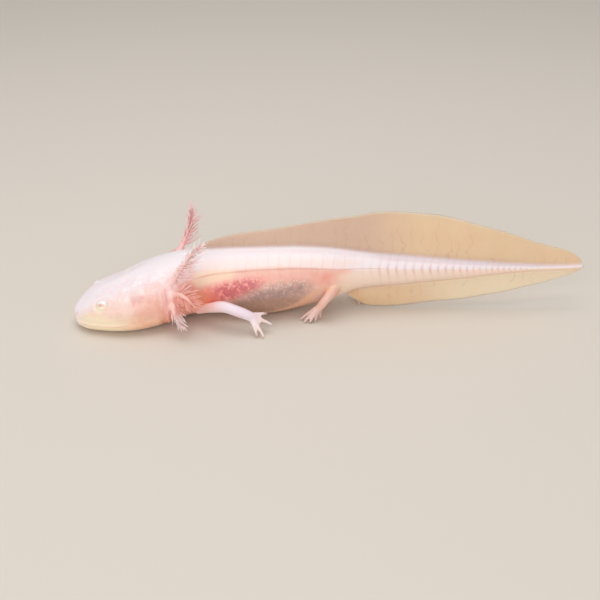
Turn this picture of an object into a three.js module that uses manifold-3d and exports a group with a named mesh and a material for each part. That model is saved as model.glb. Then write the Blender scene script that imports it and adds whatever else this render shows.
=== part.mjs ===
// A young albino axolotl resting on the bottom: a life-size still model, in millimetres.
// +Z is up and the floor is z = 0. The head points to -X, so the animal's left side faces -Y.
// The body is shaped by smooth functions of the distance from the snout and parted with thin
// cuts. Fins, limbs, gills and eyes are then set on it, each with the same small gap.

import * as THREE from "three";
import { mergeVertices } from "three/addons/utils/BufferGeometryUtils.js";
import Module from "manifold-3d";

const wasm = await Module();
wasm.setup();

const { clamp, degToRad, lerp, smoothstep } = THREE.MathUtils;

// ---------------------------------------------------------------- driving dimensions

const LENGTH = 181; // snout to tail tip, along the middle line
const ORIGIN = { x: 89.46, y: 0.9 }; // from the snout, and from the trunk's middle line
const GAP = 0.3; // the thin cut between two parts
const HALF_GAP = GAP / 2;
const AROUND = 28; // sides of the body

// Where the body is parted, as distances from the snout.
const HEAD_END = 35;
const NECK_END = 46;
const TRUNK_MIDDLE = 71;
const TRUNK_END = 98;
const TAIL_BASE_END = 126;
const TAIL_MIDDLE_END = 152;

// The middle line seen from above: the head turns to the left and the tail bends to the right.
const HEAD_TURN = degToRad(16);
const TAIL_TURN = degToRad(5);
const NECK_BEND_END = 56;

// The body without its fins at each distance from the snout: half width, top, bottom and the
// height of the widest line. A bottom under zero is cut off flat by the floor.
const BODY = [
  { at: 0, wide: 1.2, top: 5.6, bottom: 2.4, belt: 4.2 },
  { at: 1.4, wide: 4.9, top: 7.6, bottom: 1.2, belt: 4.5 },
  { at: 4, wide: 8.0, top: 9.8, bottom: 0.4, belt: 4.9 },
  { at: 9, wide: 11.2, top: 12.9, bottom: -0.1, belt: 5.5 },
  { at: 16, wide: 14.1, top: 15.3, bottom: -0.3, belt: 5.9 },
  { at: 24, wide: 15.4, top: 18.3, bottom: -0.3, belt: 6.7 },
  { at: 31, wide: 15.3, top: 20.5, bottom: 0.2, belt: 7.9 },
  { at: 38, wide: 13.1, top: 22.3, bottom: 0.8, belt: 9.2 },
  { at: 46, wide: 11.8, top: 22.9, bottom: 0.5, belt: 9.8 },
  { at: 57, wide: 12.1, top: 23.3, bottom: -0.3, belt: 10.0 },
  { at: 69, wide: 12.0, top: 23.6, bottom: -0.3, belt: 10.2 },
  { at: 80, wide: 10.4, top: 23.8, bottom: 2.0, belt: 11.5 },
  { at: 91, wide: 8.1, top: 23.2, bottom: 4.8, belt: 13.0 },
  { at: 101, wide: 5.7, top: 21.8, bottom: 8.5, belt: 14.8 },
  { at: 116, wide: 4.2, top: 20.4, bottom: 10.0, belt: 15.0 },
  { at: 136, wide: 2.7, top: 18.4, bottom: 11.9, belt: 14.9 },
  { at: 157, wide: 1.5, top: 16.4, bottom: 13.9, belt: 14.9 },
  { at: 170, wide: 0.9, top: 15.3, bottom: 14.1, belt: 14.7 },
  { at: 181, wide: 0.6, top: 15.0, bottom: 14.2, belt: 14.6 },
];
const HEAD_CORNERS = 0.78; // 1 is an ellipse, and less fills the corners of the cross-section
const TRUNK_CORNERS = 1;

// Eyes: the centre's distance from the snout, out from the middle line and up, and the size.
const EYE = { at: 9.7, out: 7.6, up: 9.7, radius: 2.6 };

// The mouth's line, which parts the jaw from the head.
const MOUTH = { corner: 21, snoutHeight: 3.6, cornerHeight: 5.4 };

// The fins' height over the back and depth under the tail.
const FINS = [
  { at: 41, over: 0.9, under: 0 },
  { at: 48, over: 3.5, under: 0 },
  { at: 58, over: 5.9, under: 0 },
  { at: 74, over: 7.9, under: 0 },
  { at: 92, over: 12.2, under: 0 },
  { at: 97, over: 13.9, under: 2.4 },
  { at: 104, over: 15.8, under: 8.0 },
  { at: 116, over: 16.6, under: 9.2 },
  { at: 130, over: 16.1, under: 9.0 },
  { at: 146, over: 13.7, under: 8.2 },
  { at: 162, over: 9.3, under: 6.2 },
  { at: 173, over: 6.4, under: 3.5 },
  { at: 178, over: 3.9, under: 1.9 },
  { at: 181, over: 0.7, under: 0.7 },
];
const DORSAL_FIN_START = 41;
const LOWER_FIN_START = 97;
const FIN_ROOT_THICKNESS = 1.6;
const FIN_RIM_THICKNESS = 0.6;

// Each limb from its root inside the body, over the elbow or knee in the middle, to the wrist
// or ankle, with half thicknesses, then the tips of its fingers or toes.
const LIMBS = [
  {
    names: ["upper_arm_left", "forearm_left", "hand_left"],
    side: -1,
    stops: [
      { at: 41, out: 8.5, up: 4.9, r: 2.1 },
      { at: 46.5, out: 12.8, up: 7.0, r: 1.75 },
      { at: 53.2, out: 16.0, up: 9.0, r: 1.9 },
      { at: 58.3, out: 17.4, up: 8.1, r: 1.8 },
      { at: 62.9, out: 18.0, up: 6.3, r: 1.6 },
    ],
    tips: [
      { at: 68.7, out: 14.8, up: 5.8 },
      { at: 70.2, out: 17.6, up: 2.8 },
      { at: 67.6, out: 22.0, up: 0.4 },
      { at: 65.2, out: 22.0, up: 0.4 },
    ],
  },
  {
    names: ["upper_arm_right", "forearm_right", "hand_right"],
    side: 1,
    stops: [
      { at: 41, out: 8.5, up: 5.6, r: 2.2 },
      { at: 46, out: 13, up: 7.4, r: 1.8 },
      { at: 52, out: 16.8, up: 8.0, r: 2.0 },
      { at: 54.6, out: 18.6, up: 6.4, r: 2.0 },
      { at: 56.8, out: 20.0, up: 3.6, r: 1.7 },
    ],
    tips: [
      { at: 62.6, out: 18.8, up: 0.3 },
      { at: 63.0, out: 21.8, up: 0.3 },
      { at: 60.4, out: 24.4, up: 0.3 },
      { at: 56.8, out: 25.0, up: 0.3 },
    ],
  },
  {
    names: ["thigh_left", "shank_left", "foot_left"],
    side: -1,
    stops: [
      { at: 92.0, out: 5.0, up: 12.0, r: 2.6 },
      { at: 91.2, out: 7.8, up: 11.2, r: 2.0 },
      { at: 89.6, out: 9.7, up: 9.8, r: 1.6 },
      { at: 88.0, out: 10.4, up: 7.9, r: 1.4 },
      { at: 86.5, out: 10.2, up: 5.6, r: 1.35 },
    ],
    tips: [
      { at: 86.8, out: 8.6, up: 0.4 },
      { at: 84.9, out: 10.8, up: 0.4 },
      { at: 83.0, out: 11.9, up: 0.4 },
      { at: 81.0, out: 11.6, up: 0.4 },
      { at: 79.6, out: 9.6, up: 0.4 },
    ],
  },
  {
    names: ["thigh_right", "shank_right", "foot_right"],
    side: 1,
    stops: [
      { at: 92.5, out: 4.4, up: 11.4, r: 2.6 },
      { at: 94.4, out: 7.6, up: 10.0, r: 2.0 },
      { at: 96.6, out: 8.8, up: 7.8, r: 1.55 },
      { at: 98.2, out: 7.6, up: 5.4, r: 1.3 },
      { at: 99.4, out: 5.6, up: 3.2, r: 1.3 },
    ],
    tips: [
      { at: 102.4, out: 7.0, up: 0.4 },
      { at: 104.0, out: 5.4, up: 0.4 },
      { at: 104.6, out: 3.6, up: 0.4 },
      { at: 103.4, out: 2.0, up: 0.4 },
      { at: 101.2, out: 1.2, up: 0.4 },
    ],
  },
];
const BEND = 0.5; // the elbow's or knee's share of the limb
const KNUCKLE = { share: 0.45, lift: 0.5, r: 0.9 };
const DIGIT_TIP_RADIUS = 0.42;

// The three gills of each side. Only the lower two mirror each other.
const UPPER_LEFT_GILL = [
  { at: 32.0, out: 9.2, up: 14.8, r: 1.9 },
  { at: 34.8, out: 12.2, up: 21.0, r: 1.3 },
  { at: 38.6, out: 14.0, up: 26.8, r: 0.9 },
  { at: 43.6, out: 14.0, up: 31.2, r: 0.5 },
];
const UPPER_RIGHT_GILL = [
  { at: 36.8, out: 7.8, up: 16.2, r: 1.9 },
  { at: 40.6, out: 10.8, up: 22.2, r: 1.35 },
  { at: 42.4, out: 12.2, up: 27.2, r: 0.9 },
  { at: 43.4, out: 12.4, up: 33.2, r: 0.5 },
];
const MIDDLE_LEFT_GILL = [
  { at: 31.8, out: 11.0, up: 13.0, r: 1.8 },
  { at: 34.6, out: 15.2, up: 14.6, r: 1.3 },
  { at: 36.9, out: 18.2, up: 14.2, r: 0.95 },
  { at: 39.2, out: 20.2, up: 12.4, r: 0.5 },
];
const MIDDLE_RIGHT_GILL = [
  { at: 31.8, out: 11.0, up: 12.6, r: 1.8 },
  { at: 35.2, out: 14.6, up: 13.0, r: 1.3 },
  { at: 38.6, out: 17.0, up: 11.8, r: 0.95 },
  { at: 42.0, out: 18.4, up: 9.4, r: 0.5 },
];
const LOWER_GILL = [
  { at: 31.2, out: 11.0, up: 9.8, r: 2.0 },
  { at: 32.2, out: 15.2, up: 10.0, r: 1.7 },
  { at: 32.7, out: 18.0, up: 8.0, r: 1.1 },
  { at: 33.4, out: 19.2, up: 4.8, r: 0.5 },
];
const FILAMENTS = { pairs: 5, first: 0.34, last: 0.97, length: 4.8, root: 0.5, tip: 0.36 };
const SPLAY = 0.75; // how far the two rows of filaments stand apart
const SWEEP = 0.45; // how far they lean towards the gill's tip
const TRAIL = new THREE.Vector3(1, 0, -0.3); // the side of the gill that they grow on

// Surfaces.
const WHITE_SKIN = { color: "#efe4e6", roughness: 0.4 };
const PINK_SKIN = { color: "#eab6ad", roughness: 0.4 };
const FIN_SKIN = { color: "#d8bfa4", roughness: 0.4 };
const GILL_SKIN = { color: "#d987a0", roughness: 0.45 };
const EYE_SURFACE = { color: "#e8dcd2", roughness: 0.15 };

// ---------------------------------------------------------------- small helpers

// A smooth value of one column of a table at a distance from the snout.
function along(table, column, at) {
  const last = table.length - 1;
  const spot = clamp(at, table[0].at, table[last].at);
  let i = 0;
  while (i < last - 1 && table[i + 1].at < spot) {
    i += 1;
  }
  const slope = (row) => {
    const before = table[Math.max(row - 1, 0)];
    const after = table[Math.min(row + 1, last)];
    return (after[column] - before[column]) / (after.at - before.at);
  };
  const span = table[i + 1].at - table[i].at;
  const t = (spot - table[i].at) / span;
  const u = 1 - t;
  const ends = table[i][column] * (1 + 2 * t) * u * u + table[i + 1][column] * t * t * (1 + 2 * u);
  return ends + span * t * u * (slope(i) * u - slope(i + 1) * t);
}

// The direction of the middle line, seen from above.
function heading(at) {
  const neck = 1 - smoothstep(at, HEAD_END, NECK_BEND_END);
  return HEAD_TURN * neck + TAIL_TURN * smoothstep(at, TRUNK_END, LENGTH);
}

// The middle line, walked from the snout in steps of 1 mm.
const spine = [new THREE.Vector2(0, 0)];
for (let at = 0; at < LENGTH; at += 1) {
  const turn = heading(at + 0.5);
  const move = new THREE.Vector2(Math.cos(turn), Math.sin(turn));
  spine.push(spine[at].clone().add(move));
}

// A place given as distance from the snout, distance to the animal's right, and height.
function place(at, right, up) {
  const i = Math.min(Math.floor(Math.max(at, 0)), LENGTH - 1);
  const middle = spine[i].clone().lerp(spine[i + 1], at - i);
  const turn = heading(at);
  return new THREE.Vector3(
    middle.x - right * Math.sin(turn) - ORIGIN.x,
    middle.y + right * Math.cos(turn) - spine[TRUNK_MIDDLE].y - ORIGIN.y,
    up,
  );
}

// A geometry as a solid, with its shared corners merged.
function solid(geometry) {
  const bare = geometry.clone();
  bare.deleteAttribute("normal");
  bare.deleteAttribute("uv");
  const merged = mergeVertices(bare, 1e-4);
  return new wasm.Manifold(
    new wasm.Mesh({
      numProp: 3,
      vertProperties: merged.attributes.position.array,
      triVerts: new Uint32Array(merged.index.array),
    }),
  );
}

// A standard geometry with every corner moved to the place that a function gives.
function reshaped(geometry, move) {
  const points = geometry.attributes.position;
  const corner = new THREE.Vector3();
  for (let i = 0; i < points.count; i += 1) {
    corner.fromBufferAttribute(points, i);
    const moved = move(corner);
    points.setXYZ(i, moved.x, moved.y, moved.z);
  }
  return geometry;
}

// A closed tube: locate(t, angle, radius) gives each point, with t from 0 to 1 along it.
function tube(sides, steps, locate) {
  const straight = new THREE.CylinderGeometry(1, 1, 1, sides, steps);
  const bent = reshaped(straight, (v) =>
    locate(0.5 - v.y, Math.atan2(v.x, v.z), Math.hypot(v.x, v.z)),
  );
  return solid(bent);
}

const signedPower = (value, exponent) => Math.sign(value) * Math.abs(value) ** exponent;

function joined(solids) {
  return solids.reduce((all, next) => all.add(next));
}

const FLOOR_SIZE = 400;
const floorBox = new THREE.BoxGeometry(FLOOR_SIZE, FLOOR_SIZE, FLOOR_SIZE);
const underFloor = solid(floorBox.translate(0, 0, -FLOOR_SIZE / 2));

// ---------------------------------------------------------------- body

// A point of the body, grown outwards by extra. Angle 0 is the middle of the back.
function bodyPoint(at, angle, radius, extra) {
  const corners = lerp(HEAD_CORNERS, TRUNK_CORNERS, smoothstep(at, EYE.at, NECK_END));
  const belt = along(BODY, "belt", at);
  const upwards = Math.cos(angle) > 0;
  const reach = upwards ? along(BODY, "top", at) - belt : belt - along(BODY, "bottom", at);
  const up = signedPower(Math.cos(angle), corners) * (reach + extra) * radius;
  const right = signedPower(Math.sin(angle), corners) * (along(BODY, "wide", at) + extra) * radius;
  return place(at, right, belt + up);
}

// One length of the body. Bunch over 1 crowds its rings towards the front.
function bodyLength(from, to, steps, extra = 0, bunch = 1) {
  return tube(AROUND, steps, (t, angle, radius) =>
    bodyPoint(from + (to - from) * t ** bunch, angle, radius, extra),
  );
}

const nearBody = bodyLength(0, LENGTH, 46, GAP, 1.3);

// ---------------------------------------------------------------- head, jaw and eyes

const CLEAR_OF_HEAD = 30; // farther out than the head reaches
const wholeHead = bodyLength(0, HEAD_END - HALF_GAP, 12, 0, 1.5).subtract(underFloor);

// The block under the mouth's line, lifted by rise. It is the room of the jaw.
function underMouth(rise) {
  const block = reshaped(new THREE.BoxGeometry(1, 1, 1, 6, 1, 1), (v) => {
    const t = v.x + 0.5;
    const at = lerp(0, MOUTH.corner + rise, t);
    const roof = lerp(MOUTH.snoutHeight, MOUTH.cornerHeight, t * t) + rise;
    const spot = place(at, 2 * v.y * CLEAR_OF_HEAD, v.z > 0 ? roof : -CLEAR_OF_HEAD);
    spot.x -= t > 0 ? 0 : CLEAR_OF_HEAD;
    return spot;
  });
  return solid(block);
}

function eyeBall(side, extra) {
  const ball = new THREE.SphereGeometry(EYE.radius + extra, 12, 8);
  const centre = place(EYE.at, side * EYE.out, EYE.up);
  return solid(ball.translate(centre.x, centre.y, centre.z));
}

// ---------------------------------------------------------------- fins

// A sheet on the middle line. It thins from its root, just clear of the body, to its rim.
function finSheet(column, from, to, steps) {
  const [way, edge] = column === "over" ? [1, "top"] : [-1, "bottom"];
  const sheet = reshaped(new THREE.BoxGeometry(1, 1, 1, steps, 1, 3), (v) => {
    const at = lerp(from, to, v.x + 0.5);
    const share = 0.5 + v.z * way;
    const height = lerp(GAP, along(FINS, column, at), share);
    const rootThickness = Math.min(FIN_ROOT_THICKNESS, along(BODY, "wide", at));
    const thickness = Math.max(lerp(rootThickness, FIN_RIM_THICKNESS, share), FIN_RIM_THICKNESS);
    return place(at, v.y * thickness, along(BODY, edge, at) + way * height);
  });
  return solid(sheet);
}

// ---------------------------------------------------------------- limbs

// The smooth middle line of a limb or gill through its stops, on one side of the body.
function limbLine(side, stops) {
  const path = new THREE.CatmullRomCurve3(stops.map((s) => place(s.at, side * s.out, s.up)));
  const middle = path.getPoint(0.5);
  const firstHalf = middle.clone().sub(path.getPoint(0));
  const secondHalf = path.getPoint(1).sub(middle);
  const thickness = (t) => {
    const spot = t * (stops.length - 1);
    const i = Math.min(Math.floor(spot), stops.length - 2);
    return lerp(stops[i].r, stops[i + 1].r, spot - i);
  };
  return { path, thickness, hinge: firstHalf.cross(secondHalf).normalize() };
}

// A tapered rod along a limb's line between two shares of it, grown by extra.
function rod(line, sides, steps, from = 0, to = 1, extra = 0) {
  return tube(sides, steps, (t, angle, radius) => {
    const share = lerp(from, to, t);
    const thick = (line.thickness(share) + extra) * radius;
    const ahead = line.path.getTangent(share);
    const across = new THREE.Vector3().crossVectors(line.hinge, ahead).normalize();
    const over = new THREE.Vector3().crossVectors(ahead, across);
    const spot = line.path.getPoint(share);
    spot.addScaledVector(across, Math.sin(angle) * thick);
    return spot.addScaledVector(over, Math.cos(angle) * thick);
  });
}

// Fingers or toes that spread from the limb's last stop.
function digits({ side, stops, tips }) {
  const wrist = stops[stops.length - 1];
  const rods = tips.map((tip) => {
    const knuckle = {
      at: lerp(wrist.at, tip.at, KNUCKLE.share),
      out: lerp(wrist.out, tip.out, KNUCKLE.share),
      up: lerp(wrist.up, tip.up, KNUCKLE.share) + KNUCKLE.lift,
      r: KNUCKLE.r,
    };
    return rod(limbLine(side, [wrist, knuckle, { ...tip, r: DIGIT_TIP_RADIUS }]), 5, 3);
  });
  return joined(rods);
}

// ---------------------------------------------------------------- gills

// One fine filament from a point of the stalk.
function filament(start, direction, length) {
  const path = new THREE.LineCurve3(start, start.clone().addScaledVector(direction, length));
  const thickness = (t) => lerp(FILAMENTS.root, FILAMENTS.tip, t);
  const hinge = new THREE.Vector3(0, 1, 0).cross(direction).normalize();
  return rod({ path, thickness, hinge }, 3, 1);
}

// A feathery gill: a tapered stalk with two rows of filaments along its trailing side.
function gill(side, stops) {
  const line = limbLine(side, stops);
  const parts = [rod(line, 6, 5)];
  for (let i = 0; i < FILAMENTS.pairs; i += 1) {
    const share = lerp(FILAMENTS.first, FILAMENTS.last, i / (FILAMENTS.pairs - 1));
    const ahead = line.path.getTangent(share);
    const trail = TRAIL.clone().projectOnPlane(ahead).normalize();
    const across = new THREE.Vector3().crossVectors(ahead, trail);
    const length = FILAMENTS.length * lerp(1, 0.6, share);
    for (const row of [-1, 1]) {
      const direction = trail.clone().addScaledVector(across, row * SPLAY);
      direction.addScaledVector(ahead, SWEEP).normalize();
      parts.push(filament(line.path.getPoint(share), direction, length));
    }
  }
  return joined(parts);
}

// ---------------------------------------------------------------- assembly

const axolotl = new THREE.Group();

// Adds a solid as a named mesh with a surface of its own.
function add(name, body, surface) {
  const mesh = body.getMesh();
  const geometry = new THREE.BufferGeometry();
  const position = new THREE.BufferAttribute(new Float32Array(mesh.vertProperties), 3);
  geometry.setAttribute("position", position);
  geometry.setIndex(new THREE.BufferAttribute(new Uint32Array(mesh.triVerts), 1));
  geometry.computeVertexNormals();
  const part = new THREE.Mesh(geometry, new THREE.MeshStandardMaterial({ ...surface, metalness: 0 }));
  part.name = name;
  axolotl.add(part);
}

const sockets = joined([eyeBall(-1, GAP), eyeBall(1, GAP)]);
add("head", wholeHead.subtract(underMouth(GAP)).subtract(sockets), WHITE_SKIN);
add("jaw", wholeHead.intersect(underMouth(0)), WHITE_SKIN);
add("eye_left", eyeBall(-1, 0), EYE_SURFACE);
add("eye_right", eyeBall(1, 0), EYE_SURFACE);

const LENGTHS = [
  { name: "neck", from: HEAD_END, to: NECK_END, steps: 5, surface: PINK_SKIN },
  { name: "trunk_front", from: NECK_END, to: TRUNK_MIDDLE, steps: 6, surface: PINK_SKIN },
  { name: "trunk_rear", from: TRUNK_MIDDLE, to: TRUNK_END, steps: 8, surface: PINK_SKIN },
  { name: "tail_base", from: TRUNK_END, to: TAIL_BASE_END, steps: 6, surface: WHITE_SKIN },
  { name: "tail_middle", from: TAIL_BASE_END, to: TAIL_MIDDLE_END, steps: 5, surface: WHITE_SKIN },
  { name: "tail_tip", from: TAIL_MIDDLE_END, to: LENGTH, steps: 4, surface: WHITE_SKIN },
];
for (const { name, from, to, steps, surface } of LENGTHS) {
  add(name, bodyLength(from + HALF_GAP, to - HALF_GAP, steps).subtract(underFloor), surface);
}

add("dorsal_fin", finSheet("over", DORSAL_FIN_START, TRUNK_END - HALF_GAP, 12), FIN_SKIN);
add("tail_fin_upper", finSheet("over", TRUNK_END + HALF_GAP, LENGTH, 18), FIN_SKIN);
add("tail_fin_lower", finSheet("under", LOWER_FIN_START, LENGTH, 20), FIN_SKIN);

for (const limb of LIMBS) {
  const line = limbLine(limb.side, limb.stops);
  const cut = HALF_GAP / line.path.getLength();
  const [upper, lower, end] = limb.names;
  const shin = rod(line, 8, 4, BEND + cut, 1);
  const nearShin = rod(line, 8, 4, BEND, 1, GAP);
  add(upper, rod(line, 8, 4, 0, BEND - cut).subtract(nearBody), WHITE_SKIN);
  add(lower, shin.subtract(nearBody), WHITE_SKIN);
  add(end, digits(limb).subtract(nearShin).subtract(underFloor), WHITE_SKIN);
}

const GILLS = [
  { name: "gill_left_upper", side: -1, stops: UPPER_LEFT_GILL },
  { name: "gill_left_middle", side: -1, stops: MIDDLE_LEFT_GILL },
  { name: "gill_left_lower", side: -1, stops: LOWER_GILL },
  { name: "gill_right_upper", side: 1, stops: UPPER_RIGHT_GILL },
  { name: "gill_right_middle", side: 1, stops: MIDDLE_RIGHT_GILL },
  { name: "gill_right_lower", side: 1, stops: LOWER_GILL },
];
for (const { name, side, stops } of GILLS) {
  add(name, gill(side, stops).subtract(nearBody), GILL_SKIN);
}

export default axolotl;
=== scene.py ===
"""A young albino axolotl lying on a flat floor, life size.

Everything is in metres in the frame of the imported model: +Z is up, the floor is z = 0, and the
head points to -X, so the animal's left side faces -Y. The tables are in millimetres.
"""

import math
import random
from functools import partial

import bmesh
import bpy
import numpy as np
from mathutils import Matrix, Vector


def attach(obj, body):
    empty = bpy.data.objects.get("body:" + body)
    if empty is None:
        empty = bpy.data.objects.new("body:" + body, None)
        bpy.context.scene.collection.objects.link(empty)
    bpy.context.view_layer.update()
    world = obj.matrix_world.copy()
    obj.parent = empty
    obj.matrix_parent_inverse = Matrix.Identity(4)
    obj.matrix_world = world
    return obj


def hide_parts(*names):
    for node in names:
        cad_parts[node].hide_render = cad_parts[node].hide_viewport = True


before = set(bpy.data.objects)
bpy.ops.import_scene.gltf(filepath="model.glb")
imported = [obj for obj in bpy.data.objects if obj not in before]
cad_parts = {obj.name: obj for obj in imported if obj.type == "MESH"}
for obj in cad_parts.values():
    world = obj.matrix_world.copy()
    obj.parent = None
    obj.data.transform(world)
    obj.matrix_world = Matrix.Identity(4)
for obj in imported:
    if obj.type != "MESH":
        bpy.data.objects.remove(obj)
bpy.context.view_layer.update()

MM = 0.001
TAU = 2 * math.pi
BODY = "root"

# ---- the animal's dimensions

LENGTH = 181
ORIGIN = (89.46, 0.9)  # from the snout, and from the trunk's middle line
TRUNK_MIDDLE = 71
HEAD_END = 35
NECK_END = 46
TRUNK_END = 98
NECK_BEND_END = 56
HEAD_TURN = math.radians(16)
TAIL_TURN = math.radians(5)
SPINE_STEP = 0.25

# Distance from the snout, half width, top, bottom, and height of the widest line.
WIDE, TOP, BOTTOM, BELT = range(1, 5)
SECTIONS = (
    (0, 0, 4.3, 4.3, 4.3),
    (0.12, 1.7, 5.7, 2.6, 4.3),
    (0.4, 2.9, 6.4, 2.0, 4.35),
    (0.8, 3.9, 7.0, 1.6, 4.4),
    (1.4, 4.9, 7.6, 1.2, 4.5),
    (4, 8.0, 9.8, 0.4, 4.9),
    (9, 11.2, 12.9, -0.1, 5.5),
    (16, 14.1, 15.3, -0.3, 5.9),
    (24, 15.4, 18.3, -0.3, 6.7),
    (31, 15.3, 20.5, 0.2, 7.9),
    (38, 13.1, 22.3, 0.8, 9.2),
    (46, 11.8, 22.9, 0.5, 9.8),
    (57, 12.1, 23.3, -0.3, 10.0),
    (69, 12.0, 23.6, -0.3, 10.2),
    (80, 10.4, 23.8, 2.0, 11.5),
    (91, 8.1, 23.2, 4.8, 13.0),
    (101, 5.7, 21.8, 8.5, 14.8),
    (116, 4.2, 20.4, 10.0, 15.0),
    (136, 2.7, 18.4, 11.9, 14.9),
    (157, 1.5, 16.4, 13.9, 14.9),
    (170, 0.9, 15.3, 14.1, 14.7),
    (179, 0.5, 15.0, 14.2, 14.6),
    (181, 0, 14.6, 14.6, 14.6),
)
HEAD_CORNERS = 0.78  # 1 is an ellipse, and less fills the corners of the cross-section

# Distance from the snout, height of the fin over the back, and depth of the fin under the tail.
OVER, UNDER = 1, 2
FINS = (
    (36, 0, 0),
    (41, 0.9, 0),
    (48, 3.5, 0),
    (58, 5.9, 0),
    (74, 7.9, 0),
    (92, 12.2, 0),
    (95.5, 13.4, 0),
    (97, 13.9, 2.4),
    (104, 15.8, 8.0),
    (116, 16.6, 9.2),
    (130, 16.1, 9.0),
    (146, 13.7, 8.2),
    (162, 9.3, 6.2),
    (173, 6.4, 3.5),
    (178, 3.9, 1.9),
    (180.2, 1.5, 0.9),
    (181, 0, 0),
)
FIN_ROOT = 0.8  # half thickness
FIN_RIM = 0.3
RIM_POWER = 10  # the higher, the blunter the fin's rim
FILLET = 1.1

EYE = {"at": 9.7, "out": 7.6, "up": 9.7, "radius": 2.6, "depth": 2.0}
EYE_SEAT = (0.60, 0.44, 0.67)  # forwards, outwards and upwards, square to the skin
EYE_GAZE = (0.40, 0.68, 0.62)
EYE_SUNK = {-1: 0.0, 1: 0.2}  # the right eye is drawn a little deeper into its socket
MOUTH = {"corner": 18.5, "snout": 3.6, "rise": 1.8, "long": 21}
NOSTRIL = {"at": 1.1, "out": 2.9, "up": 6.3}

# The line along the flank where the white back ends, in degrees from the middle of the back.
FLANK_LINE = (
    *((36, 55), (44, 54), (52, 51), (60, 48), (68, 46)),
    *((76, 48), (86, 53), (96, 60), (112, 64), (181, 66)),
)

# Each limb: its side, the stops of its middle line as (at, out, up, half thickness), and the
# tips of its digits.
LIMBS = {
    "arm_left": (
        -1,
        [
            (41, 8.5, 4.9, 2.1),
            (46.5, 12.8, 7.0, 1.75),
            (53.2, 16.0, 9.0, 1.9),
            (58.3, 17.4, 8.1, 1.8),
            (62.9, 18.0, 6.3, 1.6),
        ],
        [(68.7, 14.8, 5.8), (70.2, 17.6, 2.8), (67.6, 22.0, 0.4), (65.2, 22.0, 0.4)],
    ),
    "arm_right": (
        1,
        [
            (41, 8.5, 5.6, 2.2),
            (46, 13.0, 7.4, 1.8),
            (52, 16.8, 8.0, 2.0),
            (54.6, 18.6, 6.4, 2.0),
            (56.8, 20.0, 3.6, 1.7),
        ],
        [(62.6, 18.8, 0.4), (63.0, 21.8, 0.4), (60.4, 24.4, 0.4), (56.8, 25.0, 0.4)],
    ),
    "leg_left": (
        -1,
        [
            (92, 5.0, 12.0, 2.6),
            (91.2, 7.8, 11.2, 2.0),
            (89.6, 9.7, 9.8, 1.6),
            (88.0, 10.4, 7.9, 1.4),
            (86.5, 10.2, 5.6, 1.35),
        ],
        [
            *((86.8, 8.6, 0.4), (84.9, 10.8, 0.4), (83.0, 11.9, 0.4)),
            *((81.0, 11.6, 0.4), (79.6, 9.6, 0.4)),
        ],
    ),
    "leg_right": (
        1,
        [
            (92.5, 4.4, 11.4, 2.6),
            (94.4, 7.6, 10.0, 2.0),
            (96.6, 8.8, 7.8, 1.55),
            (98.2, 7.6, 5.4, 1.3),
            (99.4, 5.6, 3.2, 1.3),
        ],
        [
            *((102.4, 7.0, 0.4), (104, 5.4, 0.4), (104.6, 3.6, 0.4)),
            *((103.4, 2.0, 0.4), (101.2, 1.2, 0.4)),
        ],
    ),
}
PALM = 0.42  # how far the palm reaches towards the fingertips
KNUCKLES = ((0.22, 1.0), (0.46, 0.72), (0.76, 0.52))  # share of a digit, and half thickness
MIDDLE_KNUCKLE = 1
FINGERTIP = 0.42
MELT = 0.27  # the grain in which limb, palm and digits melt together
RELAXED = 5  # rounds of smoothing after that

# Each gill: its side and the stops of its middle line.
LOWER_GILL = [
    *((31.2, 11.0, 9.8, 2.0), (32.2, 15.2, 10.0, 1.7)),
    *((32.7, 18.0, 8.0, 1.1), (33.4, 19.2, 4.8, 0.5)),
]
GILLS = {
    "gill_left_upper": (
        -1,
        [
            *((32, 9.2, 14.8, 1.9), (34.8, 12.2, 21.0, 1.3)),
            *((38.6, 14.0, 26.8, 0.9), (43.6, 14.0, 31.2, 0.5)),
        ],
    ),
    "gill_left_middle": (
        -1,
        [
            *((31.8, 11, 13.0, 1.8), (34.6, 15.2, 14.6, 1.3)),
            *((36.9, 18.2, 14.2, 0.95), (39.2, 20.2, 12.4, 0.5)),
        ],
    ),
    "gill_left_lower": (-1, LOWER_GILL),
    "gill_right_upper": (
        1,
        [
            *((36.8, 7.8, 16.2, 1.9), (40.6, 10.8, 22.2, 1.35)),
            *((42.4, 12.2, 27.2, 0.9), (43.4, 12.4, 33.2, 0.5)),
        ],
    ),
    "gill_right_middle": (
        1,
        [
            *((31.8, 11, 12.6, 1.8), (35.2, 14.6, 13.0, 1.3)),
            *((38.6, 17, 11.8, 0.95), (42, 18.4, 9.4, 0.5)),
        ],
    ),
    "gill_right_lower": (1, LOWER_GILL),
}

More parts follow.
